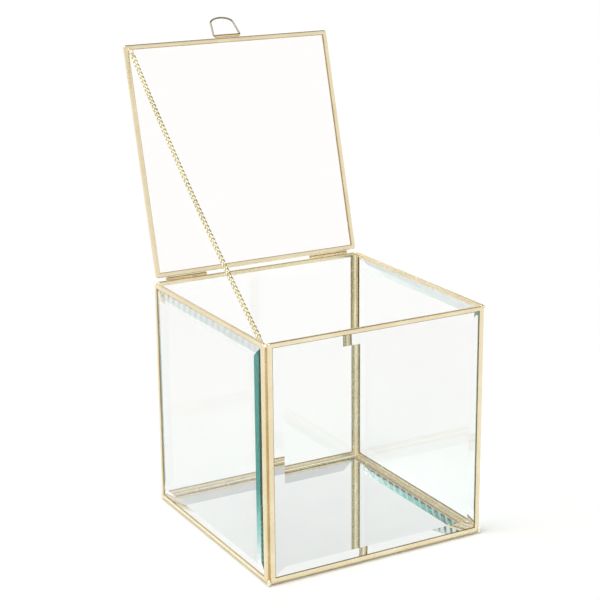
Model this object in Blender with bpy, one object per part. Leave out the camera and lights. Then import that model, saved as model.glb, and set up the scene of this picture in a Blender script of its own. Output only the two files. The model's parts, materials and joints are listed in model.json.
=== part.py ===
"""Glass wedding card box: five framed panes, a hinged lid, a stay chain and a ring pull.

Units are metres and +Z is up.  The origin is the middle of the box's underside, -Y is the
front and the hinges run along the top of the back.  Each pane of glass sits in its own bent
brass channel, called a came.  The lid is modelled closed and then opened on its hinge axis.
"""
import math

import bmesh
import bpy
from mathutils import Matrix, Vector

# Box.
BOX_HEIGHT = 0.200
PANE_SIZE = 0.197          # outer size of every box pane's came, and of the base's
CLEARANCE = 0.0003         # running and solder gaps

# Came: a strip folded to a U and bent round the pane.
CAME_THICKNESS = 0.0030
CAME_FLANGE = 0.0037
CAME_SHEET = 0.00038
CAME_FOLD = 0.0005         # outside radius of the folds along the strip
CORNER_RADIUS = 0.0022     # outside radius at the pane's corners
CORNER_STEPS = 3
FOLD_STEPS = 2

# Glass.
GLASS_INSET = 0.0007       # glass edge behind the came's outer edge
BODY_THICKNESS = 0.0034    # bevelled panes, away from the bevel
EDGE_THICKNESS = 0.0008    # bevelled panes, at the edge
BEVEL_WIDTH = 0.0118
PLAIN_THICKNESS = 0.0016   # lid glass and base mirror
BACKING_THICKNESS = 0.0004

# Lid, given closed.
LID_WIDTH = 0.198
LID_BACK = 0.0980          # y of its hinge edge
LID_FRONT = -0.1013        # y of its free edge
LID_OPEN = math.radians(105.2)

# Hinges.
KNUCKLE_RADIUS = 0.0013
KNUCKLE_BORE = 0.00095
HINGE_LENGTH = 0.038
HINGE_OFFSET = 0.0705      # x of each hinge's middle
LID_KNUCKLE_LENGTH = 0.0136
PIN_RADIUS = 0.00065
HINGE_Y = LID_BACK + CLEARANCE + KNUCKLE_RADIUS
HINGE_Z = BOX_HEIGHT + CLEARANCE + KNUCKLE_RADIUS

# Ring pull, lying in its own plane, u measured away from the tube.
RING_TUBE_LENGTH = 0.0234
RING_TUBE_RADIUS = 0.0014
RING_TUBE_BORE = 0.0010
RING_WIRE = 0.0007
RING_FOOT = 0.0127         # half width at the tube
RING_WAIST = 0.0110        # half width where the crown starts
RING_WAIST_U = 0.0137
RING_TOP_U = 0.0198
RING_BEND = 0.0012
RING_LEAN = math.radians(29.0)

# Stay chain.
BOX_EYE = Vector((-0.0965, -0.0865, 0.1978))
LID_EYE = Vector((-0.0932, -0.0947, 0.1995))        # lid closed
LID_CHAIN_PIVOT = Vector((-0.0928, -0.0934, 0.1990))  # lid closed
EYE_WIRE = 0.0004
BOX_EYE_RADIUS = 0.0013
LID_EYE_RADII = (0.0018, 0.0026)
CHAIN_SAG = 0.0060
CHAIN_LINKS = 67
LOWER_LINKS = 32
CHAIN_END = 0.0024         # clear length between a pivot and its nearest link
LINK_WIRE = 0.0004
LINK_HALF_WIDTH = 0.0013
LINK_OVERLAP = 0.0003      # how far a link's centre line passes the joint with the next
BEND_RETREAT = 0.0006      # gap kept on each side of the pivots at the chain's bend
LINK_ROLL = math.radians(45.0)

# Solder beads in the outside corners.
BEAD_RADIUS = 0.0015
BEAD_HEIGHTS = {"top": (0.1983, 0.0015), "bottom": (0.0032, 0.0026)}

LID_THICKNESS = CAME_THICKNESS
LID_UNDERSIDE = BOX_HEIGHT + CLEARANCE
LID_MIDDLE_Z = LID_UNDERSIDE + LID_THICKNESS / 2
PANE_HALF = PANE_SIZE / 2
PANE_MIDDLE = PANE_HALF + CAME_THICKNESS / 2
HINGE_POINT = Vector((0.0, HINGE_Y, HINGE_Z))


def clear_scene():
    for item in list(bpy.data.objects):
        bpy.data.objects.remove(item, do_unlink=True)


def make_material(name, colour, roughness, metallic, alpha=1.0):
    material = bpy.data.materials.new(name)
    material.use_nodes = True
    shader = material.node_tree.nodes["Principled BSDF"]
    shader.inputs["Base Color"].default_value = (*colour, 1.0)
    shader.inputs["Roughness"].default_value = roughness
    shader.inputs["Metallic"].default_value = metallic
    shader.inputs["Alpha"].default_value = alpha
    material.diffuse_color = (*colour, alpha)
    return material


def add_object(name, mesh_builder, material, matrix, parent=None, smooth=False):
    """Make one named object from a bmesh, with its faces turned out."""
    bmesh.ops.remove_doubles(mesh_builder, verts=mesh_builder.verts, dist=1e-6)
    bmesh.ops.recalc_face_normals(mesh_builder, faces=mesh_builder.faces)
    mesh = bpy.data.meshes.new(name)
    mesh_builder.to_mesh(mesh)
    mesh_builder.free()
    mesh.materials.append(material)
    if smooth:
        mesh.shade_smooth()
        mesh.set_sharp_from_angle(angle=math.radians(40.0))
    item = bpy.data.objects.new(name, mesh)
    bpy.context.scene.collection.objects.link(item)
    item.parent = parent
    item.matrix_local = matrix
    return item


def add_empty(name, location, angle, parent=None):
    """An empty turned about X, for the pieces that swing with it."""
    empty = bpy.data.objects.new(name, None)
    empty.empty_display_size = 0.01
    bpy.context.scene.collection.objects.link(empty)
    empty.parent = parent
    empty.location = location
    empty.rotation_euler = (angle, 0.0, 0.0)
    return empty


def bridge_rings(mesh_builder, rings, closed):
    """Join rings of vertices with quads; a closed sweep also joins the last to the first."""
    count = len(rings)
    for index in range(count if closed else count - 1):
        ring, following = rings[index], rings[(index + 1) % count]
        for side in range(len(ring)):
            beside = (side + 1) % len(ring)
            mesh_builder.faces.new((ring[side], ring[beside], following[beside], following[side]))


def rounded_outline(half_a, half_b, inset):
    """Points round a rectangle with rounded corners, set in from the came's outer edge."""
    radius = max(CORNER_RADIUS - inset, 0.0)
    points = []
    for corner, (sign_a, sign_b) in enumerate(((1, 1), (-1, 1), (-1, -1), (1, -1))):
        centre_a = sign_a * (half_a - inset - radius)
        centre_b = sign_b * (half_b - inset - radius)
        for step in range(CORNER_STEPS + 1):
            angle = math.pi / 2 * (corner + step / CORNER_STEPS)
            points.append((centre_a + radius * math.cos(angle), centre_b + radius * math.sin(angle)))
    return points


def channel_section():
    """Outline of the folded strip as (inset, offset) pairs, starting at one lip."""
    half = CAME_THICKNESS / 2
    section = [(CAME_FLANGE, -half)]
    for side, start in ((-1, 270.0), (1, 180.0)):
        for step in range(FOLD_STEPS + 1):
            angle = math.radians(start - 90.0 * step / FOLD_STEPS)
            inset = CAME_FOLD + CAME_FOLD * math.cos(angle)
            section.append((inset, side * (half - CAME_FOLD) + CAME_FOLD * math.sin(angle)))
    section.append((CAME_FLANGE, half))
    section.append((CAME_FLANGE, half - CAME_SHEET))
    section.append((CAME_SHEET, half - CAME_SHEET))
    section.append((CAME_SHEET, -half + CAME_SHEET))
    section.append((CAME_FLANGE, -half + CAME_SHEET))
    return section


def came_mesh(half_a, half_b):
    """A channel bent round a rectangle in the local XY plane, open towards the middle."""
    mesh_builder = bmesh.new()
    section = channel_section()
    outlines = [rounded_outline(half_a, half_b, inset) for inset, _ in section]
    rings = []
    for station in range(len(outlines[0])):
        ring = []
        for outline, (_, offset) in zip(outlines, section):
            ring.append(mesh_builder.verts.new((*outline[station], offset)))
        rings.append(ring)
    bridge_rings(mesh_builder, rings, closed=True)
    return mesh_builder


def plate_mesh(half_a, half_b, levels):
    """A plate in the local XY plane from (inset, height) levels, capped at both ends."""
    mesh_builder = bmesh.new()
    rings = []
    for inset, height in levels:
        outline = rounded_outline(half_a, half_b, inset)
        rings.append([mesh_builder.verts.new((a, b, height)) for a, b in outline])
    bridge_rings(mesh_builder, rings, closed=False)
    mesh_builder.faces.new(rings[0])
    mesh_builder.faces.new(rings[-1])
    return mesh_builder


def tube_mesh(length, radius, bore, segments=16):
    """A tube along local X, centred on the origin."""
    mesh_builder = bmesh.new()
    rings = []
    for x, r in ((-length / 2, bore), (-length / 2, radius), (length / 2, radius), (length / 2, bore)):
        ring = []
        for segment in range(segments):
            angle = 2 * math.pi * segment / segments
            ring.append(mesh_builder.verts.new((x, r * math.cos(angle), r * math.sin(angle))))
        rings.append(ring)
    bridge_rings(mesh_builder, rings, closed=True)
    return mesh_builder


def rod_mesh(length, radius, segments=12):
    """A solid rod along local X, centred on the origin."""
    mesh_builder = bmesh.new()
    along_x = Matrix.Rotation(math.pi / 2, 4, "Y")
    bmesh.ops.create_cone(
        mesh_builder, cap_ends=True, segments=segments, radius1=radius, radius2=radius,
        depth=length, matrix=along_x,
    )
    return mesh_builder


def sweep_loop(mesh_builder, path, radius, sides, matrix):
    """Bend round wire along a closed path of (x, y) points, mitred at each point."""
    rings = []
    count = len(path)
    for index, point in enumerate(path):
        here = Vector(point)
        into = (here - Vector(path[index - 1])).normalized()
        out = (Vector(path[(index + 1) % count]) - here).normalized()
        tangent = (into + out).normalized()
        normal = Vector((tangent.y, -tangent.x)) / tangent.dot(out)
        ring = []
        for side in range(sides):
            angle = 2 * math.pi * side / sides
            flat = here + normal * (radius * math.cos(angle))
            place = matrix @ Vector((flat.x, flat.y, radius * math.sin(angle)))
            ring.append(mesh_builder.verts.new(place))
        rings.append(ring)
    bridge_rings(mesh_builder, rings, closed=True)


def oval_path(radius_x, radius_y, steps):
    angles = [2 * math.pi * step / steps for step in range(steps)]
    return [(radius_x * math.cos(angle), radius_y * math.sin(angle)) for angle in angles]


def ring_pull_path(crown_steps=12, bend_steps=3):
    """Half-round ring whose straight foot runs through the tube along x."""
    path = []
    for side in (1, -1):
        start = -90.0 if side == 1 else 180.0
        bend = []
        for step in range(bend_steps + 1):
            angle = math.radians(start + 90.0 * step / bend_steps)
            bend.append((side * (RING_FOOT - RING_BEND) + RING_BEND * math.cos(angle),
                         RING_BEND + RING_BEND * math.sin(angle)))
        path.append(bend)
    crown = []
    for step in range(crown_steps + 1):
        angle = math.pi * step / crown_steps
        crown.append((RING_WAIST * math.cos(angle),
                      RING_WAIST_U + (RING_TOP_U - RING_WAIST_U) * math.sin(angle)))
    return path[0] + crown + path[1]


def link_path(back, front):
    """One chain link's centre line, back and front being its ends' distances from its middle."""
    waist = LINK_HALF_WIDTH
    end = 0.4 * waist
    return [(front, -end), (front, end), (0.55 * front, waist), (-0.55 * back, waist),
            (-back, end), (-back, -end), (-0.55 * back, -waist), (0.55 * front, -waist)]


class StayChain:
    """The chain's line: a shallow parabola in the plane through its two pivots."""

    SAMPLES = 600

    def __init__(self, start, finish, sag):
        self.points = []
        self.lengths = [0.0]
        for sample in range(self.SAMPLES + 1):
            t = sample / self.SAMPLES
            drop = Vector((0.0, 0.0, 4 * sag * t * (1 - t)))
            self.points.append(start.lerp(finish, t) - drop)
        for before, after in zip(self.points, self.points[1:]):
            self.lengths.append(self.lengths[-1] + (after - before).length)
        self.total = self.lengths[-1]
        self.pitch = (self.total - 2 * CHAIN_END) / CHAIN_LINKS

    def at(self, distance):
        """Point at a distance along the chain from the box."""
        index = 1
        while self.lengths[index] < distance and index < self.SAMPLES:
            index += 1
        span = self.lengths[index] - self.lengths[index - 1]
        part = (distance - self.lengths[index - 1]) / span
        return self.points[index - 1].lerp(self.points[index], part)

    def joint(self, number):
        """Where link number starts."""
        return self.at(CHAIN_END + number * self.pitch)

    def link_matrix(self, number):
        """Middle of a link, with x along the chain, rolled to one side and then the other."""
        start, finish = self.joint(number), self.joint(number + 1)
        along = (finish - start).normalized()
        side = (Vector((1.0, 0.0, 0.0)) - along * along.x).normalized()
        upward = along.cross(side)
        turn = Matrix((along, side, upward)).transposed().to_4x4()
        roll = LINK_ROLL if number % 2 else -LINK_ROLL
        return Matrix.Translation((start + finish) / 2) @ turn @ Matrix.Rotation(roll, 4, "X")


def links_mesh(chain, numbers, short_ends, origin):
    """Every numbered link as a closed loop; neighbours meet at their ends."""
    mesh_builder = bmesh.new()
    to_local = Matrix.Translation(-origin)
    hooked = chain.pitch / 2 + LINK_OVERLAP
    short = chain.pitch / 2 - LINK_WIRE - BEND_RETREAT
    for number in numbers:
        back = short if number in short_ends["back"] else hooked
        front = short if number in short_ends["front"] else hooked
        matrix = to_local @ chain.link_matrix(number)
        sweep_loop(mesh_builder, link_path(back, front), LINK_WIRE, 4, matrix)
    return mesh_builder


def lid_point(closed_point):
    """Where a point of the closed lid is when the lid is open."""
    turned = Matrix.Rotation(-LID_OPEN, 3, "X") @ (closed_point - HINGE_POINT)
    return HINGE_POINT + turned


def join_with_guide(piece, guide):
    """Make one body of a piece and its guide, which is then left out of the model."""
    guide.hide_render = True
    guide.display_type = "WIRE"
    union = piece.modifiers.new("join_links", "BOOLEAN")
    union.operation = "UNION"
    union.object = guide


def build_panes(brass, glass):
    """The four upright panes, each a bevelled glass in its own came, bevel outwards."""
    height_middle = BOX_HEIGHT - PANE_HALF
    inner = -CAME_THICKNESS / 2 + CAME_SHEET + CLEARANCE
    levels = (
        (GLASS_INSET, inner),
        (GLASS_INSET, inner + EDGE_THICKNESS),
        (GLASS_INSET + BEVEL_WIDTH, inner + BODY_THICKNESS),
    )
    upright = Matrix.Rotation(math.pi / 2, 4, "X")
    for name, turn in (("front", 0.0), ("right", 90.0), ("back", 180.0), ("left", 270.0)):
        spin = Matrix.Rotation(math.radians(turn), 4, "Z")
        place = spin @ Matrix.Translation((0.0, -PANE_MIDDLE, height_middle)) @ upright
        add_object(f"{name}_came", came_mesh(PANE_HALF, PANE_HALF), brass, place)
        add_object(f"{name}_glass", plate_mesh(PANE_HALF, PANE_HALF, levels), glass, place)


def build_base(brass, mirror, backing):
    """The base: a mirror in a came, with a thin backing sheet between the came's lips."""
    place = Matrix.Translation((0.0, 0.0, CAME_THICKNESS / 2))
    low = -CAME_THICKNESS / 2
    mirror_low = low + CAME_SHEET + CLEARANCE
    mirror_levels = ((GLASS_INSET, mirror_low), (GLASS_INSET, mirror_low + PLAIN_THICKNESS))
    backing_inset = CAME_FLANGE + CLEARANCE
    backing_levels = ((backing_inset, low), (backing_inset, low + BACKING_THICKNESS))
    add_object("base_came", came_mesh(PANE_HALF, PANE_HALF), brass, place)
    add_object("base_mirror", plate_mesh(PANE_HALF, PANE_HALF, mirror_levels), mirror, place)
    add_object("base_backing", plate_mesh(PANE_HALF, PANE_HALF, backing_levels), backing, place)


def build_solder(solder):
    """A bead at the top and the bottom of each outside corner."""
    centre = PANE_HALF + CLEARANCE + BEAD_RADIUS
    for level, (height, half_height) in BEAD_HEIGHTS.items():
        for depth, sign_y in (("front", -1), ("back", 1)):
            for side, sign_x in (("left", -1), ("right", 1)):
                mesh_builder = bmesh.new()
                shape = Matrix.Diagonal((BEAD_RADIUS, BEAD_RADIUS, half_height, 1.0))
                bmesh.ops.create_icosphere(mesh_builder, subdivisions=2, radius=1.0, matrix=shape)
                place = Matrix.Translation((sign_x * centre, sign_y * centre, height))
                name = f"solder_{level}_{depth}_{side}"
                add_object(name, mesh_builder, solder, place, smooth=True)


def build_lid(brass, glass, lid_empty):
    """The lid's came and plain glass, placed closed under the empty on the hinge axis."""
    half_b = (LID_BACK - LID_FRONT) / 2
    middle = Vector((0.0, (LID_BACK + LID_FRONT) / 2, LID_MIDDLE_Z)) - HINGE_POINT
    place = Matrix.Translation(middle)
    levels = ((GLASS_INSET, -PLAIN_THICKNESS / 2), (GLASS_INSET, PLAIN_THICKNESS / 2))
    add_object("lid_came", came_mesh(LID_WIDTH / 2, half_b), brass, place, lid_empty)
    add_object("lid_glass", plate_mesh(LID_WIDTH / 2, half_b, levels), glass, place, lid_empty)


def build_hinges(brass, steel, lid_empty):
    """Two hinges: outer and inner knuckles on the box, one on the lid between them, a pin."""
    box_length = (HINGE_LENGTH - LID_KNUCKLE_LENGTH) / 2 - CLEARANCE
    box_offset = (HINGE_LENGTH - box_length) / 2
    for name, sign in (("left", -1), ("right", 1)):
        middle = Vector((sign * HINGE_OFFSET, 0.0, 0.0))
        for which, side in (("outer", sign), ("inner", -sign)):
            place = Matrix.Translation(HINGE_POINT + middle + Vector((side * box_offset, 0.0, 0.0)))
            knuckle = tube_mesh(box_length, KNUCKLE_RADIUS, KNUCKLE_BORE)
            add_object(f"{name}_hinge_{which}_knuckle", knuckle, brass, place, smooth=True)
        knuckle = tube_mesh(LID_KNUCKLE_LENGTH, KNUCKLE_RADIUS, KNUCKLE_BORE)
        place = Matrix.Translation(middle)
        add_object(f"{name}_hinge_lid_knuckle", knuckle, brass, place, lid_empty, smooth=True)
        pin = rod_mesh(HINGE_LENGTH, PIN_RADIUS)
        place = Matrix.Translation(HINGE_POINT + middle)
        add_object(f"{name}_hinge_pin", pin, steel, place, smooth=True)


def build_ring_pull(brass, lid_empty):
    """A tube on the lid's free edge and the ring that turns in it, leaning off the lid."""
    tube_point = Vector((0.0, LID_FRONT - CLEARANCE - RING_TUBE_RADIUS, LID_MIDDLE_Z))
    tube = tube_mesh(RING_TUBE_LENGTH, RING_TUBE_RADIUS, RING_TUBE_BORE)
    place = Matrix.Translation(tube_point - HINGE_POINT)
    add_object("ring_tube", tube, brass, place, lid_empty, smooth=True)
    ring_empty = add_empty("ring_pivot", tube_point - HINGE_POINT, -RING_LEAN, lid_empty)
    mesh_builder = bmesh.new()
    outwards = Matrix.Rotation(math.pi, 4, "Z")
    sweep_loop(mesh_builder, ring_pull_path(), RING_WIRE, 8, outwards)
    add_object("ring_pull", mesh_builder, brass, Matrix.Identity(4), ring_empty, smooth=True)


def build_eyes(brass, lid_empty):
    """The loops that hold the chain: one inside the left came, one under the lid's corner."""
    mesh_builder = bmesh.new()
    upright = Matrix.Rotation(math.pi / 2, 4, "X")
    sweep_loop(mesh_builder, oval_path(BOX_EYE_RADIUS, BOX_EYE_RADIUS, 12), EYE_WIRE, 6, upright)
    add_object("box_chain_eye", mesh_builder, brass, Matrix.Translation(BOX_EYE), smooth=True)
    mesh_builder = bmesh.new()
    sweep_loop(mesh_builder, oval_path(*LID_EYE_RADII, 14), EYE_WIRE, 6, Matrix.Identity(4))
    place = Matrix.Translation(LID_EYE - HINGE_POINT)
    add_object("lid_chain_eye", mesh_builder, brass, place, lid_empty, smooth=True)


def build_chain(gold):
    """The stay chain, taut with a little sag: two halves and the two links where it folds."""
    lid_pivot = lid_point(LID_CHAIN_PIVOT)
    chain = StayChain(BOX_EYE, lid_pivot, CHAIN_SAG)
    bend_1, bend_2 = LOWER_LINKS, LOWER_LINKS + 1
    last = CHAIN_LINKS - 1
    short_ends = {
        "front": (bend_1 - 1, bend_1, bend_2, last),
        "back": (0, bend_1, bend_2, bend_2 + 1),
    }
    pieces = (
        ("chain_lower", range(0, bend_1), BOX_EYE),
        ("chain_bend_1", (bend_1,), chain.joint(bend_1)),
        ("chain_bend_2", (bend_2,), chain.joint(bend_2)),
        ("chain_upper", range(bend_2 + 1, CHAIN_LINKS), lid_pivot),
    )
    for name, numbers, origin in pieces:
        place = Matrix.Translation(origin)
        every_other = links_mesh(chain, numbers[::2], short_ends, origin)
        piece = add_object(name, every_other, gold, place)
        if len(numbers) > 1:
            between = links_mesh(chain, numbers[1::2], short_ends, origin)
            guide = add_object(f"{name}_between", between, gold, place)
            join_with_guide(piece, guide)


def main():
    clear_scene()
    brass = make_material("antique_brass", (0.62, 0.46, 0.24), 0.35, 1.0)
    gold = make_material("chain_gold", (0.86, 0.72, 0.42), 0.25, 1.0)
    solder = make_material("gold_solder", (0.93, 0.86, 0.64), 0.3, 1.0)
    steel = make_material("pin_brass", (0.55, 0.42, 0.24), 0.4, 1.0)
    glass = make_material("clear_glass", (0.90, 0.96, 0.95), 0.02, 0.0, alpha=0.3)
    mirror = make_material("mirror_glass", (0.80, 0.86, 0.86), 0.03, 1.0)
    backing = make_material("black_backing", (0.06, 0.06, 0.06), 0.9, 0.0)
    lid_empty = add_empty("lid_pivot", HINGE_POINT, -LID_OPEN)
    build_panes(brass, glass)
    build_base(brass, mirror, backing)
    build_solder(solder)
    build_lid(brass, glass, lid_empty)
    build_hinges(brass, steel, lid_empty)
    build_ring_pull(brass, lid_empty)
    build_eyes(brass, lid_empty)
    build_chain(gold)


main()
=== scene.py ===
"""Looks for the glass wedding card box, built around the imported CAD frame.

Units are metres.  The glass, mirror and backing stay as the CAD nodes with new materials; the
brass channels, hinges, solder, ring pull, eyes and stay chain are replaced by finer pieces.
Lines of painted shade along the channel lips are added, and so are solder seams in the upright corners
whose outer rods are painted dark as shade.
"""
import json
import math
import random

import bmesh
import bpy
from mathutils import Matrix, Vector, noise


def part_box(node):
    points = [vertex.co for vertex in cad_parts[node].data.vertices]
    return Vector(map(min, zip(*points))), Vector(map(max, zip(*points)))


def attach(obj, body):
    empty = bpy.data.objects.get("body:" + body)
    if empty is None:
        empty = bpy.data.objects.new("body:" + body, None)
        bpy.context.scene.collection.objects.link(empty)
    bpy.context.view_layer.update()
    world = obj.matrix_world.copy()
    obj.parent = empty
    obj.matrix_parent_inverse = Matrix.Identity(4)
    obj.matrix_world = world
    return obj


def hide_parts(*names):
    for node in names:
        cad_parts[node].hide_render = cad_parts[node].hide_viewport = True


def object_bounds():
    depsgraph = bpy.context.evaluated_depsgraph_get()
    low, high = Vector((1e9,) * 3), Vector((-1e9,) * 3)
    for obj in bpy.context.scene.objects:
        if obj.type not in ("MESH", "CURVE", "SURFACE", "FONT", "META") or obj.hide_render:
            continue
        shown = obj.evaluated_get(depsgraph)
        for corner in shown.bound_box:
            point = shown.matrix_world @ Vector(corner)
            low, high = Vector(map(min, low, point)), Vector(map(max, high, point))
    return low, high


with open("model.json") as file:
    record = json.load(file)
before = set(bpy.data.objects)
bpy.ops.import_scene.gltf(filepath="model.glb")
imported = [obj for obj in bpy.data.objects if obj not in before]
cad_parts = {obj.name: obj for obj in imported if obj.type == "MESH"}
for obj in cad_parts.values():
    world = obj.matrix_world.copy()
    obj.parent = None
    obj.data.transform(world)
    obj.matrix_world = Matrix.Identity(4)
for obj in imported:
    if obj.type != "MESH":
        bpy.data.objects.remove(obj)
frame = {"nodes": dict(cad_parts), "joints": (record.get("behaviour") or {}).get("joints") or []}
CAD_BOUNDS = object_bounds()
JOINTS = {joint["name"]: joint for joint in frame["joints"]}

# Camera.
CAMERA_PLACE = (-0.63971, -1.12761, 0.57217)
CAMERA_YAW = math.radians(29.013)
CAMERA_PITCH = math.radians(16.244)
CAMERA_ROLL = math.radians(-0.534)
CAMERA_LENS = 97.53
SENSOR = 36.0

# Glass: light lost per metre is density times one minus tint.
GLASS_TINT = (0.12, 0.64, 0.60)
GLASS_DENSITY = 12.0
GLASS_SURFACE = (1.0, 0.983, 0.98)
GLASS_SHADOW = (0.95, 0.965, 0.96)
GLASS_IOR = 1.52
GLASS_WAVE = 0.03
LEFT_TOOTH_DEPTH = 0.000018
RIGHT_TOOTH_DEPTH = 0.00012
NIBBLE_PITCH = 0.0105
NIBBLE_REACH = 0.0120

# Studio light: the world's brightness falls off toward the front and toward straight up.
WORLD_STRENGTH = 1.0
FRONT_DIM = 0.95
FRONT_SPAN = (-0.9, 0.1)
TOP_DIM = 0.22
TOP_SPAN = (0.36, 0.78)
KEY_STRENGTH = 2.25
KEY_FROM = (-1.0, -0.5, 2.0)
SUN_SPREAD = math.radians(50.0)
STUDIO_WHITE = (1.0, 0.99, 0.98)
FLOOR_GREY = (0.93, 0.93, 0.93)
FLOOR_SIZE = 12.0
FLOOR_DROP = 0.0002
LIGHT_BOUNCES = 128
CLEAR_BOUNCES = 24

# Metal finishes: the darker tone, the paler tone, the range of roughness and the grain.
FINISHES = {
    "came_brass": ((0.82, 0.71, 0.47), (0.88, 0.79, 0.56), (0.20, 0.30), 1.0),
    "hinge_brass": ((0.72, 0.56, 0.28), (0.84, 0.68, 0.37), (0.16, 0.26), 1.0),
    "ring_brass": ((0.26, 0.24, 0.18), (0.36, 0.33, 0.25), (0.18, 0.28), 1.0),
    "pin_brass": ((0.42, 0.29, 0.13), (0.55, 0.40, 0.20), (0.28, 0.42), 1.0),
    # painted shade: dark brass for the outer corner seam rods and for the lip shade lines on the back,
    # left and lid
    "seam_shade_brass": ((0.54, 0.38, 0.18), (0.66, 0.49, 0.27), (0.30, 0.45), 1.0),
    # painted shade: near-black brown for the shade lines along the lips of the front and right panes
    "painted_shade_brown": ((0.12, 0.09, 0.05), (0.20, 0.15, 0.08), (0.45, 0.60), 1.0),
    "solder_gold": ((0.92, 0.85, 0.64), (0.97, 0.92, 0.76), (0.14, 0.26), 1.0),
    "chain_gold": ((0.68, 0.61, 0.37), (0.82, 0.76, 0.51), (0.12, 0.20), 0.5),
}

# Channel.
FLANGE = 0.0037
SHEET = 0.00038
FOLD = 0.0011
CORNER_RADIUS = 0.0022
CORNER_STEPS = 8
FOLD_STEPS = 7

# Chain.
CHAIN_SAG = 0.0060
CHAIN_END = 0.0024
LINK_WIRE = 0.00068
LINK_WAIST = 0.00140
LINK_HOOK = 0.00056
LINK_TWIST = math.radians(45.0)
LINK_STEPS = 28
WIRE_SIDES = 10
CHAIN_LAY = math.radians(-32.0)
CHAIN_SEED = 11
JUMP_RING_RADIUS = 0.0018
JUMP_RING_SHIFT = 0.0012
JUMP_RING_WIRE_SHARE = 0.8

# Chain eyes.
EYE_WIRE = 0.00045
EYE_INSET = 0.0004

# Painted shade: a thin dark line along the lips, standing in for the shadow in the gap between each lip
# and its glass.
SHADE_LINE_RADIUS = 0.00033
SHADE_LINE_SHOWS = 0.00045
SHADE_LINE_OFFSET = 0.00105
SHADE_LINE_STATIONS = (0.001, 0.25, 0.5, 0.75, 0.999)

# Hinge and ring tubes.
HINGE_BORE = 0.00095
RING_BORE = 0.0010
TUBE_RIM = 0.00018
TUBE_SIDES = 32

# Solder beads, and seams in the upright corners whose outer rods are painted dark as shade.
BEAD_INWARD = 0.00035
ROD_SIDES = 14
ROD_STATIONS = 60
SEAM_RADIUS = 0.0008
SEAM_END = 0.0020
FILLET_RADIUS = 0.0011
FILLET_INWARD = 0.0006

# Ring pull.
RING_FOOT = 0.0127
RING_WAIST = 0.0110
RING_WAIST_SHARE = 0.692
RING_WIRE = 0.0008
RING_BEND = 0.0016


# ---------------------------------------------------------------- nodes and materials

def new_material(name):
    material = bpy.data.materials.new(name)
    material.use_nodes = True
    return material, material.node_tree.nodes, material.node_tree.links


def add_node(nodes, kind, **values):
    node = nodes.new(kind)
    for key, value in values.items():
        setattr(node, key, value)
    return node


def noise_texture(nodes, links, coordinates, scale, detail=4.0, stretch=(1, 1, 1)):
    mapping = add_node(nodes, "ShaderNodeMapping")
    mapping.inputs["Scale"].default_value = stretch
    links.new(coordinates, mapping.inputs["Vector"])
    texture = add_node(nodes, "ShaderNodeTexNoise")
    texture.inputs["Scale"].default_value = scale
    texture.inputs["Detail"].default_value = detail
    links.new(mapping.outputs["Vector"], texture.inputs["Vector"])
    return texture.outputs["Fac"]


def ramp(nodes, links, factor, stops):
    node = add_node(nodes, "ShaderNodeValToRGB")
    elements = node.color_ramp.elements
    while len(elements) < len(stops):
        elements.new(0.5)
    for element, (position, colour) in zip(elements, stops):
        element.position = position
        element.color = (*colour, 1.0)
    links.new(factor, node.inputs["Fac"])
    return node.outputs["Color"]


def map_range(nodes, links, factor, low, high, source=(0.3, 0.7)):
    node = add_node(nodes, "ShaderNodeMapRange")
    node.inputs["From Min"].default_value = source[0]
    node.inputs["From Max"].default_value = source[1]
    node.inputs["To Min"].default_value = low
    node.inputs["To Max"].default_value = high
    links.new(factor, node.inputs["Value"])
    return node.outputs["Result"]


def brass_material(name, dark, pale, roughness, grain):
    """Brass with faint clouding in its lacquer, a fine drawn grain and small dull specks."""
    material, nodes, links = new_material(name)
    shader = nodes["Principled BSDF"]
    place = add_node(nodes, "ShaderNodeTexCoord").outputs["Object"]
    cloud = noise_texture(nodes, links, place, 38.0, 5.0)
    colour = ramp(nodes, links, cloud, ((0.34, dark), (0.66, pale)))
    specks = noise_texture(nodes, links, place, 1100.0, 2.0)
    speck_mask = map_range(nodes, links, specks, 0.0, 0.30, (0.64, 0.78))
    mix = add_node(nodes, "ShaderNodeMix", data_type="RGBA")
    links.new(speck_mask, mix.inputs["Factor"])
    links.new(colour, mix.inputs["A"])
    mix.inputs["B"].default_value = (*[0.5 * value for value in dark], 1.0)
    links.new(mix.outputs["Result"], shader.inputs["Base Color"])
    wear = noise_texture(nodes, links, place, 220.0, 4.0)
    links.new(map_range(nodes, links, wear, *roughness), shader.inputs["Roughness"])
    shader.inputs["Metallic"].default_value = 1.0
    bump = add_node(nodes, "ShaderNodeBump")
    bump.inputs["Strength"].default_value = 0.12 * grain
    bump.inputs["Distance"].default_value = 0.00008
    links.new(noise_texture(nodes, links, place, 1600.0, 3.0), bump.inputs["Height"])
    ripple = add_node(nodes, "ShaderNodeBump")
    ripple.inputs["Strength"].default_value = 0.10 * grain
    ripple.inputs["Distance"].default_value = 0.0004
    links.new(noise_texture(nodes, links, place, 45.0, 1.0), ripple.inputs["Height"])
    links.new(bump.outputs["Normal"], ripple.inputs["Normal"])
    links.new(ripple.outputs["Normal"], shader.inputs["Normal"])
    return material


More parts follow.
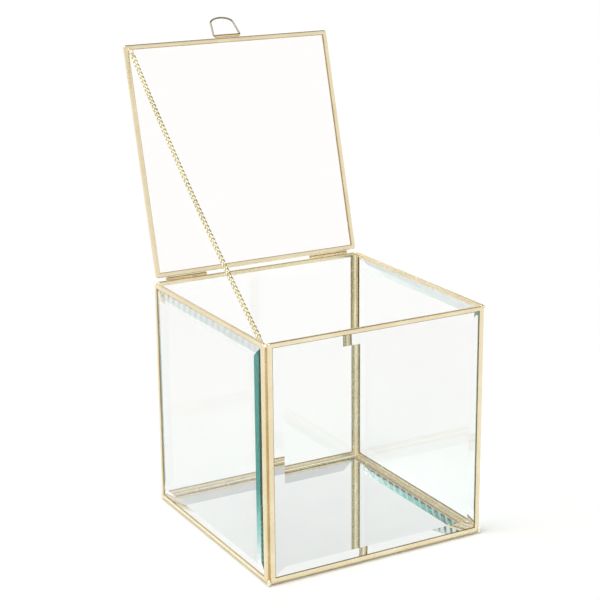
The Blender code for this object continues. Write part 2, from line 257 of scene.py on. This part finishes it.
def glass_material(name, wave, pane=None, end=None, tooth_depth=0.0):
    """Clear glass: green body, faintly warm surface, slight waves, nibbled edges, lamps let through."""
    material, nodes, links = new_material(name)
    shader = nodes["Principled BSDF"]
    output = nodes["Material Output"]
    shader.inputs["Base Color"].default_value = (*GLASS_SURFACE, 1.0)
    shader.inputs["Roughness"].default_value = 0.0
    shader.inputs["IOR"].default_value = GLASS_IOR
    shader.inputs["Transmission Weight"].default_value = 1.0
    place = add_node(nodes, "ShaderNodeTexCoord").outputs["Object"]
    bump = add_node(nodes, "ShaderNodeBump")
    bump.inputs["Strength"].default_value = wave
    bump.inputs["Distance"].default_value = 0.0004
    links.new(noise_texture(nodes, links, place, 14.0, 1.0), bump.inputs["Height"])
    links.new(bump.outputs["Normal"], shader.inputs["Normal"])
    if end is not None:
        nibble = add_node(nodes, "ShaderNodeBump")
        nibble.inputs["Strength"].default_value = 1.0
        nibble.inputs["Distance"].default_value = tooth_depth
        links.new(nibbled_edge(nodes, links, place, pane, end), nibble.inputs["Height"])
        links.new(nibble.outputs["Normal"], bump.inputs["Normal"])
    clear = add_node(nodes, "ShaderNodeBsdfTransparent")
    clear.inputs["Color"].default_value = (*GLASS_SHADOW, 1.0)
    path = add_node(nodes, "ShaderNodeLightPath")
    mix = add_node(nodes, "ShaderNodeMixShader")
    links.new(path.outputs["Is Shadow Ray"], mix.inputs["Fac"])
    links.new(shader.outputs["BSDF"], mix.inputs[1])
    links.new(clear.outputs["BSDF"], mix.inputs[2])
    links.new(mix.outputs["Shader"], output.inputs["Surface"])
    volume = add_node(nodes, "ShaderNodeVolumeAbsorption")
    volume.inputs["Color"].default_value = (*GLASS_TINT, 1.0)
    volume.inputs["Density"].default_value = GLASS_DENSITY
    links.new(volume.outputs["Volume"], output.inputs["Volume"])
    return material


def nibbled_edge(nodes, links, place, pane, end):
    """Height of the shallow teeth along a pane's top or bottom bevel, and nothing elsewhere."""
    low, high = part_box(pane)
    along = add_node(nodes, "ShaderNodeVectorMath", operation="DOT_PRODUCT")
    along.inputs[1].default_value = (2 * math.pi / NIBBLE_PITCH, 2 * math.pi / NIBBLE_PITCH, 0.0)
    links.new(place, along.inputs[0])
    tooth = add_node(nodes, "ShaderNodeMath", operation="SINE")
    links.new(along.outputs["Value"], tooth.inputs[0])
    split = add_node(nodes, "ShaderNodeSeparateXYZ")
    links.new(place, split.inputs["Vector"])
    rim = high.z if end == "top" else low.z
    inside = (rim - NIBBLE_REACH, rim) if end == "top" else (rim + NIBBLE_REACH, rim)
    edge = map_range(nodes, links, split.outputs["Z"], 0.0, 1.0, inside)
    teeth = add_node(nodes, "ShaderNodeMath", operation="MULTIPLY")
    links.new(tooth.outputs[0], teeth.inputs[0])
    links.new(edge, teeth.inputs[1])
    return teeth.outputs[0]


def mirror_material():
    """Silvered glass: bright, faintly green, with a little dust in its gloss."""
    material, nodes, links = new_material("mirror_silver")
    shader = nodes["Principled BSDF"]
    place = add_node(nodes, "ShaderNodeTexCoord").outputs["Object"]
    cloud = noise_texture(nodes, links, place, 25.0, 3.0)
    colour = ramp(nodes, links, cloud, ((0.3, (0.925, 0.955, 0.952)), (0.7, (0.95, 0.98, 0.977))))
    links.new(colour, shader.inputs["Base Color"])
    shader.inputs["Metallic"].default_value = 1.0
    dust = noise_texture(nodes, links, place, 700.0, 2.0)
    links.new(map_range(nodes, links, dust, 0.0, 0.05, (0.45, 0.8)), shader.inputs["Roughness"])
    return material


def felt_material():
    material, nodes, links = new_material("backing_felt")
    shader = nodes["Principled BSDF"]
    place = add_node(nodes, "ShaderNodeTexCoord").outputs["Object"]
    fibres = noise_texture(nodes, links, place, 1200.0, 6.0)
    colour = ramp(nodes, links, fibres, ((0.3, (0.012, 0.012, 0.013)), (0.7, (0.045, 0.045, 0.047))))
    links.new(colour, shader.inputs["Base Color"])
    shader.inputs["Roughness"].default_value = 0.95
    shader.inputs["Sheen Weight"].default_value = 0.4
    bump = add_node(nodes, "ShaderNodeBump")
    bump.inputs["Strength"].default_value = 0.6
    bump.inputs["Distance"].default_value = 0.0002
    links.new(fibres, bump.inputs["Height"])
    links.new(bump.outputs["Normal"], shader.inputs["Normal"])
    return material


# ---------------------------------------------------------------- meshes

def finish_mesh(name, builder, material, body, replaces=(), angle=40.0, place=None):
    """Turn a bmesh into a smooth-shaded piece that rides on a body."""
    bmesh.ops.remove_doubles(builder, verts=builder.verts, dist=1e-6)
    bmesh.ops.recalc_face_normals(builder, faces=builder.faces)
    mesh = bpy.data.meshes.new(name)
    builder.to_mesh(mesh)
    builder.free()
    if place is not None:
        mesh.transform(place)
    mesh.materials.append(material)
    mesh.shade_smooth()
    mesh.set_sharp_from_angle(angle=math.radians(angle))
    piece = bpy.data.objects.new(name, mesh)
    bpy.context.scene.collection.objects.link(piece)
    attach(piece, body)
    if replaces:
        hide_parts(*replaces)
    return piece


def bridge_rings(builder, rings, closed):
    count = len(rings)
    for index in range(count if closed else count - 1):
        ring, following = rings[index], rings[(index + 1) % count]
        for side in range(len(ring)):
            beside = (side + 1) % len(ring)
            builder.faces.new((ring[side], ring[beside], following[beside], following[side]))


def rounded_outline(half_a, half_b, inset):
    radius = max(CORNER_RADIUS - inset, 0.0)
    points = []
    for corner, (sign_a, sign_b) in enumerate(((1, 1), (-1, 1), (-1, -1), (1, -1))):
        centre_a = sign_a * (half_a - inset - radius)
        centre_b = sign_b * (half_b - inset - radius)
        for step in range(CORNER_STEPS + 1):
            angle = math.pi / 2 * (corner + step / CORNER_STEPS)
            points.append((centre_a + radius * math.cos(angle), centre_b + radius * math.sin(angle)))
    return points


def channel_section(thickness):
    """The folded strip's outline as (inset, offset), with rounded folds and rounded lips."""
    half = thickness / 2
    lip = SHEET / 2
    section = []
    for side in (-1, 1):
        turn = []
        for step in range(FOLD_STEPS + 1):
            angle = math.pi + side * math.pi / 2 * (1 - step / FOLD_STEPS)
            turn.append((FOLD + FOLD * math.cos(angle),
                         side * (half - FOLD) - FOLD * math.sin(angle)))
        if side == 1:
            turn.reverse()
        section += turn
    for side in (1, -1):
        centre = side * (half - lip)
        for step in range(4):
            angle = side * (math.pi / 2 - math.pi * step / 3)
            section.append((FLANGE - lip + lip * math.cos(angle), centre + lip * math.sin(angle)))
        if side == 1:
            section.append((SHEET, half - SHEET))
            section.append((SHEET, -half + SHEET))
            tail = len(section)
    lower = section[tail:]
    lower.reverse()
    return section[:tail] + lower


def came_piece(name, half_a, half_b, thickness, place, material, body):
    """A channel bent round a pane, in place of the CAD one."""
    builder = bmesh.new()
    section = channel_section(thickness)
    outlines = [rounded_outline(half_a, half_b, inset) for inset, _ in section]
    rings = []
    for station in range(len(outlines[0])):
        ring = []
        for outline, (_, offset) in zip(outlines, section):
            ring.append(builder.verts.new((*outline[station], offset)))
        rings.append(ring)
    bridge_rings(builder, rings, closed=True)
    return finish_mesh(name, builder, material, body, (name.replace("_look", ""),),
                       angle=35.0, place=place)


def tube_piece(node, bore, body, material):
    """A tube along X with rounded rims, where a CAD tube or pin is."""
    low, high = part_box(node)
    middle = (low + high) / 2
    length = high.x - low.x
    radius = (high.z - low.z) / 2
    rim = min(TUBE_RIM, (radius - bore) / 2.2)
    profile = []
    for end in (-1, 1):
        arc = []
        for step in range(5):
            angle = math.pi / 2 * step / 4
            arc.append((end * (length / 2 - rim + rim * math.cos(angle)),
                        radius - rim + rim * math.sin(angle)))
        if end == -1:
            profile += arc
        else:
            profile += arc[::-1]
    if bore > 0:
        profile.append((length / 2, bore))
        profile.insert(0, (-length / 2, bore))
    builder = bmesh.new()
    rings = []
    for x, r in profile:
        ring = []
        for segment in range(TUBE_SIDES):
            angle = 2 * math.pi * segment / TUBE_SIDES
            ring.append(builder.verts.new((middle.x + x, middle.y + r * math.cos(angle),
                                           middle.z + r * math.sin(angle))))
        rings.append(ring)
    bridge_rings(builder, rings, closed=bore > 0)
    if bore <= 0:
        builder.faces.new(rings[0])
        builder.faces.new(rings[-1])
    return finish_mesh(f"{node}_look", builder, material, body, (node,))


def sweep_loop(builder, points, radius, sides, start_side=None):
    """Round wire along a closed loop of 3-D points, with a frame carried round the loop."""
    count = len(points)
    tangents = []
    for index in range(count):
        tangents.append((points[(index + 1) % count] - points[index - 1]).normalized())
    normal = start_side or tangents[0].orthogonal()
    normal = (normal - tangents[0] * normal.dot(tangents[0])).normalized()
    frames = [normal]
    for index in range(1, count + 1):
        before, here = tangents[index - 1], tangents[index % count]
        normal = before.rotation_difference(here) @ normal
        frames.append(normal)
    closing = frames[-1]
    binormal = tangents[0].cross(frames[0])
    drift = math.atan2(closing.dot(binormal), closing.dot(frames[0]))
    rings = []
    for index in range(count):
        turn = Matrix.Rotation(-drift * index / count, 3, tangents[index])
        normal = turn @ frames[index]
        binormal = tangents[index].cross(normal)
        ring = []
        for side in range(sides):
            angle = 2 * math.pi * side / sides
            offset = normal * math.cos(angle) + binormal * math.sin(angle)
            ring.append(builder.verts.new(points[index] + offset * radius))
        rings.append(ring)
    bridge_rings(builder, rings, closed=True)


# ---------------------------------------------------------------- the lid's own frame

HINGE = Vector(JOINTS["lid_hinge"]["pos_m"])
OPEN_ANGLE = math.radians(max(JOINTS["lid_hinge"]["range_deg"]))
TO_OPEN = (Matrix.Translation(HINGE) @ Matrix.Rotation(-OPEN_ANGLE, 4, "X")
           @ Matrix.Translation(-HINGE))
TO_CLOSED = TO_OPEN.inverted()


def closed_box(node):
    """A lid node's corners with the lid shut, where its plate is level."""
    points = [TO_CLOSED @ vertex.co for vertex in frame["nodes"][node].data.vertices]
    low = Vector([min(point[axis] for point in points) for axis in range(3)])
    high = Vector([max(point[axis] for point in points) for axis in range(3)])
    return low, high


# ---------------------------------------------------------------- pieces

def side_cames():
    """Each upright came's side, half width, half height, thickness and place."""
    for number, side in enumerate(("front", "right", "back", "left")):
        low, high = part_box(f"{side}_came")
        size = high - low
        turn = Matrix.Rotation(math.radians(90.0 * number), 4, "Z")
        upright = Matrix.Rotation(math.pi / 2, 4, "X")
        place = Matrix.Translation((low + high) / 2) @ turn @ upright
        yield side, max(size.x, size.y) / 2, size.z / 2, min(size.x, size.y), place


def lid_came():
    """The lid came's size with the lid shut, and its place at rest."""
    low, high = closed_box("lid_came")
    return high - low, TO_OPEN @ Matrix.Translation((low + high) / 2)


def build_cames(brass):
    for side, half_a, half_b, thickness, place in side_cames():
        came_piece(f"{side}_came_look", half_a, half_b, thickness, place, brass, "box")
    low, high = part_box("base_came")
    size = high - low
    place = Matrix.Translation((low + high) / 2)
    came_piece("base_came_look", size.x / 2, size.y / 2, size.z, place, brass, "box")
    size, place = lid_came()
    came_piece("lid_came_look", size.x / 2, size.y / 2, size.z, place, brass, "lid")


def build_shade_lines(lip_shade, seam_shade_brass):
    """A dark line of painted shade between each came's lip and its glass, where the gap between them
    lies in shade.
    """
    for side, half_a, half_b, _, place in side_cames():
        # The painted shade is darkest brown on the front and right panes. On the others it takes the
        # darker seam shade brass.
        tone = lip_shade if side in ("front", "right") else seam_shade_brass
        shade_line_piece(f"{side}_putty", half_a, half_b, (SHADE_LINE_OFFSET,), place, tone, "box")
    size, place = lid_came()
    both = (-SHADE_LINE_OFFSET, SHADE_LINE_OFFSET)
    shade_line_piece("lid_shade_line", size.x / 2, size.y / 2, both, place, seam_shade_brass, "lid")


# A thin round line of painted shade just inside a channel's lip, at each given offset.
def shade_line_piece(name, half_a, half_b, offsets, place, material, body):
    builder = bmesh.new()
    inset = FLANGE + SHADE_LINE_SHOWS - SHADE_LINE_RADIUS
    a, b = half_a - inset, half_b - inset
    for offset in offsets:
        corners = [Vector((x, y, offset)) for x, y in ((a, b), (-a, b), (-a, -b), (a, -b))]
        loop = []
        for corner, following in zip(corners, corners[1:] + corners[:1]):
            for share in SHADE_LINE_STATIONS:
                loop.append(corner.lerp(following, share))
        sweep_loop(builder, loop, SHADE_LINE_RADIUS, 8)
    finish_mesh(name, builder, material, body, angle=60.0, place=place)


def bead(builder, place, radii, seed):
    """A solder bead: a ball pressed out of round."""
    verts = bmesh.ops.create_icosphere(builder, subdivisions=4, radius=1.0)["verts"]
    for vertex in verts:
        wobble = 1.0 + 0.10 * noise.noise(vertex.co * 1.7 + Vector((seed, 0.0, 0.0)))
        stretched = Vector([value * radius for value, radius in zip(vertex.co * wobble, radii)])
        vertex.co = place + stretched


def build_solder(solder):
    for node in sorted(frame["nodes"]):
        if not node.startswith("solder_"):
            continue
        low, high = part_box(node)
        middle = (low + high) / 2
        inward = Vector((-math.copysign(BEAD_INWARD, middle.x),
                         -math.copysign(BEAD_INWARD, middle.y), 0.0))
        radii = [size * 0.5 for size in (high - low)]
        builder = bmesh.new()
        bead(builder, middle + inward, radii, len(node) + middle.x * 40 + middle.y * 90)
        finish_mesh(f"{node}_look", builder, solder, "box", (node,), angle=80.0)


def rod(builder, start, finish, radius, seed):
    """A solid rod along Z whose radius wanders a little, closed by flat ends."""
    rings = []
    for station in range(ROD_STATIONS + 1):
        centre = start.lerp(finish, station / ROD_STATIONS)
        ring = []
        for side in range(ROD_SIDES):
            angle = 2 * math.pi * side / ROD_SIDES
            spot = Vector((math.cos(angle), math.sin(angle), 40.0 * centre.z + seed))
            reach = radius * (1.0 + 0.12 * noise.noise(spot))
            offset = Vector((reach * math.cos(angle), reach * math.sin(angle), 0.0))
            ring.append(builder.verts.new(centre + offset))
        rings.append(ring)
    bridge_rings(builder, rings, closed=False)
    builder.faces.new(rings[0])
    builder.faces.new(rings[-1])


def build_seams(seam_shade_brass, solder):
    """Solder run down each upright corner: an outer rod painted dark as the shade in the corner seam,
    and a pale fillet inside.
    """
    front_low, front_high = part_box("front_came")
    right_low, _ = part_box("right_came")
    across = (front_high.x + right_low.x) / 2
    along = (-front_high.y - right_low.y) / 2
    for name, sign_x, sign_y in (("front_left", -1, -1), ("front_right", 1, -1),
                                 ("back_left", -1, 1), ("back_right", 1, 1)):
        builder = bmesh.new()
        start = Vector((sign_x * across, sign_y * along, front_low.z + SEAM_END))
        finish = Vector((start.x, start.y, front_high.z - SEAM_END))
        rod(builder, start, finish, SEAM_RADIUS, 7.0 * sign_x + 3.0 * sign_y)
        # The outer rod carries the painted shade of the corner seam.
        finish_mesh(f"seam_{name}_look", builder, seam_shade_brass, "box", angle=60.0)
        inward = Vector((-sign_x * FILLET_INWARD, -sign_y * FILLET_INWARD, 0.0))
        builder = bmesh.new()
        rod(builder, start + inward, finish + inward, FILLET_RADIUS, 5.0 * sign_x + 2.0 * sign_y)
        finish_mesh(f"fillet_{name}_look", builder, solder, "box", angle=60.0)


def build_hinges(brass, pin_brass):
    for side in ("left", "right"):
        for which in ("outer", "inner"):
            tube_piece(f"{side}_hinge_{which}_knuckle", HINGE_BORE, "box", brass)
        tube_piece(f"{side}_hinge_lid_knuckle", HINGE_BORE, "lid", brass)
        tube_piece(f"{side}_hinge_pin", 0.0, "box", pin_brass)
    tube_piece("ring_tube", RING_BORE, "lid", brass)


def build_ring_pull(brass):
    pivot = Vector(JOINTS["ring_hinge"]["pos_m"])
    _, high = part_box("ring_pull")
    far = Vector((0.0, high.y - pivot.y, high.z - pivot.z))
    outward = far.normalized()
    reach = (far.y - RING_WIRE) * outward.y + (far.z - RING_WIRE) * outward.z
    waist = RING_WAIST_SHARE * reach
    flat = []
    for step in range(9):
        angle = math.radians(90.0 * step / 8 - 90.0)
        flat.append((RING_FOOT - RING_BEND + RING_BEND * math.cos(angle),
                     RING_BEND + RING_BEND * math.sin(angle)))
    for step in range(1, 8):
        part = step / 8
        flat.append((RING_FOOT + (RING_WAIST - RING_FOOT) * part,
                     RING_BEND + (waist - RING_BEND) * part))
    for step in range(41):
        angle = math.pi * step / 40
        flat.append((RING_WAIST * math.cos(angle), waist + (reach - waist) * math.sin(angle)))
    mirrored = [(-x, u) for x, u in flat[:16]][::-1]
    flat += mirrored
    points = [pivot + Vector((x, 0.0, 0.0)) + outward * u for x, u in flat]
    builder = bmesh.new()
    sweep_loop(builder, points, RING_WIRE, 14)
    finish_mesh("ring_pull_look", builder, brass, "ring", ("ring_pull",),
                angle=60.0)


class StayChain:
    """The chain's line at rest: a shallow parabola between its two pivots."""

    SAMPLES = 600

    def __init__(self, start, finish):
        self.points = []
        self.lengths = [0.0]
        for sample in range(self.SAMPLES + 1):
            t = sample / self.SAMPLES
            drop = Vector((0.0, 0.0, 4 * CHAIN_SAG * t * (1 - t)))
            self.points.append(start.lerp(finish, t) - drop)
        for before, after in zip(self.points, self.points[1:]):
            self.lengths.append(self.lengths[-1] + (after - before).length)
        first_bend = Vector(JOINTS["chain_bend_1_swing"]["pos_m"])
        second_bend = Vector(JOINTS["chain_bend_2_swing"]["pos_m"])
        run = self.lengths[-1] - 2 * CHAIN_END
        self.count = round(run / (second_bend - first_bend).length)
        self.pitch = run / self.count
        self.lower = round(((first_bend - start).length - CHAIN_END) / self.pitch)

    def at(self, distance):
        index = 1
        while self.lengths[index] < distance and index < self.SAMPLES:
            index += 1
        span = self.lengths[index] - self.lengths[index - 1]
        part = (distance - self.lengths[index - 1]) / span
        return self.points[index - 1].lerp(self.points[index], part)

    def frame_at(self, number, roll):
        start = self.at(CHAIN_END + number * self.pitch)
        finish = self.at(CHAIN_END + (number + 1) * self.pitch)
        along = (finish - start).normalized()
        side = (Vector((1.0, 0.0, 0.0)) - along * along.x).normalized()
        turn = Matrix((along, side, along.cross(side))).transposed().to_4x4()
        return Matrix.Translation((start + finish) / 2) @ turn @ Matrix.Rotation(roll, 4, "X")


def curb_link(builder, place, half_length, rng):
    """An oval wire link twisted between its ends, rolled and leant a little at random."""
    roll = Matrix.Rotation(rng.uniform(-0.07, 0.07), 4, "X")
    lean = roll @ Matrix.Rotation(rng.uniform(-0.03, 0.03), 4, "Z")
    points = []
    for step in range(LINK_STEPS):
        angle = 2 * math.pi * step / LINK_STEPS
        twist = LINK_TWIST * math.cos(angle)
        across = LINK_WAIST * math.sin(angle)
        local = Vector((half_length * math.cos(angle), across * math.cos(twist),
                        across * math.sin(twist)))
        points.append(place @ lean @ local)
    sweep_loop(builder, points, LINK_WIRE, WIRE_SIDES)


def jump_ring(builder, pivot, along, side):
    centre = pivot + along * JUMP_RING_SHIFT
    points = []
    for step in range(20):
        angle = 2 * math.pi * step / 20
        points.append(centre + along * (JUMP_RING_RADIUS * math.cos(angle))
                      + side * (JUMP_RING_RADIUS * math.sin(angle)))
    sweep_loop(builder, points, LINK_WIRE * JUMP_RING_WIRE_SHARE, WIRE_SIDES)


def build_chain(gold):
    low_pivot = Vector(JOINTS["chain_lower_swing"]["pos_m"])
    high_pivot = Vector(JOINTS["chain_upper_swing"]["pos_m"])
    chain = StayChain(low_pivot, high_pivot)
    rng = random.Random(CHAIN_SEED)
    half_length = chain.pitch / 2 + LINK_HOOK
    runs = (
        ("chain_lower", range(0, chain.lower)),
        ("chain_bend_1", range(chain.lower, chain.lower + 1)),
        ("chain_bend_2", range(chain.lower + 1, chain.lower + 2)),
        ("chain_upper", range(chain.lower + 2, chain.count)),
    )
    for name, numbers in runs:
        builder = bmesh.new()
        for number in numbers:
            curb_link(builder, chain.frame_at(number, CHAIN_LAY), half_length, rng)
        if name == "chain_lower":
            along = (chain.at(CHAIN_END) - low_pivot).normalized()
            side = along.cross(Vector((1.0, 0.0, 0.0))).normalized()
            jump_ring(builder, low_pivot, along, side)
        if name == "chain_upper":
            along = (chain.at(chain.lengths[-1] - CHAIN_END) - high_pivot).normalized()
            side = Vector((1.0, 0.0, 0.0))
            jump_ring(builder, high_pivot, along, side)
        finish_mesh(f"{name}_look", builder, gold, name, (name,), angle=80.0)


def build_eyes(brass):
    low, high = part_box("box_chain_eye")
    middle = (low + high) / 2
    radius = (high.z - low.z) / 2 - EYE_INSET
    points = []
    for step in range(28):
        angle = 2 * math.pi * step / 28
        points.append(middle + Vector((radius * math.cos(angle), 0.0, radius * math.sin(angle))))
    builder = bmesh.new()
    sweep_loop(builder, points, EYE_WIRE, WIRE_SIDES)
    wall = Vector((low.x - 0.0001, middle.y, middle.z))
    bead(builder, wall, (0.0007, 0.0014, 0.0013), 3.0)
    finish_mesh("box_chain_eye_look", builder, brass, "box", ("box_chain_eye",),
                angle=80.0)
    low, high = closed_box("lid_chain_eye")
    middle = (low + high) / 2
    radii = ((high.x - low.x) / 2 - EYE_INSET, (high.y - low.y) / 2 - EYE_INSET)
    points = []
    for step in range(32):
        angle = 2 * math.pi * step / 32
        local = middle + Vector((radii[0] * math.cos(angle), radii[1] * math.sin(angle), 0.0))
        points.append(TO_OPEN @ local)
    builder = bmesh.new()
    sweep_loop(builder, points, EYE_WIRE, WIRE_SIDES)
    solder_place = TO_OPEN @ (middle + Vector((-radii[0] * 0.8, -radii[1] * 0.9, 0.0004)))
    bead(builder, solder_place, (0.0011, 0.0010, 0.0012), 7.0)
    finish_mesh("lid_chain_eye_look", builder, brass, "lid", ("lid_chain_eye",),
                angle=80.0)


def dress_node(node, material):
    item = frame["nodes"][node]
    item.data.materials.clear()
    item.data.materials.append(material)


# ---------------------------------------------------------------- stage

def build_stage():
    floor_mesh = bpy.data.meshes.new("floor")
    builder = bmesh.new()
    bmesh.ops.create_grid(builder, x_segments=1, y_segments=1, size=FLOOR_SIZE)
    builder.to_mesh(floor_mesh)
    builder.free()
    floor = bpy.data.objects.new("floor", floor_mesh)
    floor.location.z = CAD_BOUNDS[0][2] - FLOOR_DROP
    bpy.context.scene.collection.objects.link(floor)
    material, nodes, _ = new_material("floor_paper")
    shader = nodes["Principled BSDF"]
    shader.inputs["Base Color"].default_value = (*FLOOR_GREY, 1.0)
    shader.inputs["Roughness"].default_value = 0.9
    shader.inputs["Specular IOR Level"].default_value = 0.0
    floor_mesh.materials.append(material)

    world = bpy.data.worlds.new("studio")
    bpy.context.scene.world = world
    world.use_nodes = True
    nodes, links = world.node_tree.nodes, world.node_tree.links
    background = nodes["Background"]
    direction = add_node(nodes, "ShaderNodeTexCoord").outputs["Generated"]
    split = add_node(nodes, "ShaderNodeSeparateXYZ")
    links.new(direction, split.inputs["Vector"])
    back = map_range(nodes, links, split.outputs["Y"], FRONT_DIM, 1.0, FRONT_SPAN)
    above = map_range(nodes, links, split.outputs["Z"], 1.0, TOP_DIM, TOP_SPAN)
    total = add_node(nodes, "ShaderNodeMath", operation="MULTIPLY")
    links.new(back, total.inputs[0])
    links.new(above, total.inputs[1])
    colour = ramp(nodes, links, total.outputs[0], ((0.0, (0.0, 0.0, 0.0)), (1.0, STUDIO_WHITE)))
    links.new(colour, background.inputs["Color"])
    background.inputs["Strength"].default_value = WORLD_STRENGTH
    build_key()


def build_key():
    light = bpy.data.lights.new("key", "SUN")
    light.energy = KEY_STRENGTH
    light.angle = SUN_SPREAD
    light.color = STUDIO_WHITE
    lamp = bpy.data.objects.new("key", light)
    lamp.rotation_euler = Vector(KEY_FROM).to_track_quat("Z", "Y").to_euler()
    bpy.context.scene.collection.objects.link(lamp)


def build_camera():
    data = bpy.data.cameras.new("camera")
    data.lens = CAMERA_LENS
    data.sensor_width = SENSOR
    data.clip_start = 0.01
    data.clip_end = 60.0
    camera = bpy.data.objects.new("camera", data)
    bpy.context.scene.collection.objects.link(camera)
    turn = (Matrix.Rotation(-CAMERA_YAW, 4, "Z") @ Matrix.Rotation(math.pi / 2 - CAMERA_PITCH, 4, "X")
            @ Matrix.Rotation(CAMERA_ROLL, 4, "Z"))
    camera.matrix_world = Matrix.Translation(CAMERA_PLACE) @ turn
    bpy.context.scene.camera = camera


def main():
    build_camera()
    build_stage()
    finish = {name: brass_material(name, *look) for name, look in FINISHES.items()}
    for side, end, depth in (("front", None, 0.0), ("back", None, 0.0),
                             ("left", "top", LEFT_TOOTH_DEPTH),
                             ("right", "bottom", RIGHT_TOOTH_DEPTH)):
        glass = glass_material(f"{side}_pane_glass", GLASS_WAVE, f"{side}_glass", end, depth)
        dress_node(f"{side}_glass", glass)
    dress_node("lid_glass", glass_material("lid_pane_glass", GLASS_WAVE))
    dress_node("base_mirror", mirror_material())
    dress_node("base_backing", felt_material())
    build_cames(finish["came_brass"])
    # Painted shade lines along the channel lips.
    build_shade_lines(finish["painted_shade_brown"], finish["seam_shade_brass"])
    build_solder(finish["solder_gold"])
    # Corner seams, with their outer rods in painted shade.
    build_seams(finish["seam_shade_brass"], finish["solder_gold"])
    build_hinges(finish["hinge_brass"], finish["pin_brass"])
    build_ring_pull(finish["ring_brass"])
    build_eyes(finish["came_brass"])
    build_chain(finish["chain_gold"])
    scene = bpy.context.scene
    scene.view_settings.view_transform = "Standard"
    scene.cycles.max_bounces = LIGHT_BOUNCES
    scene.cycles.transmission_bounces = LIGHT_BOUNCES
    scene.cycles.glossy_bounces = LIGHT_BOUNCES
    scene.cycles.transparent_max_bounces = CLEAR_BOUNCES


main()
bpy.context.view_layer.update()
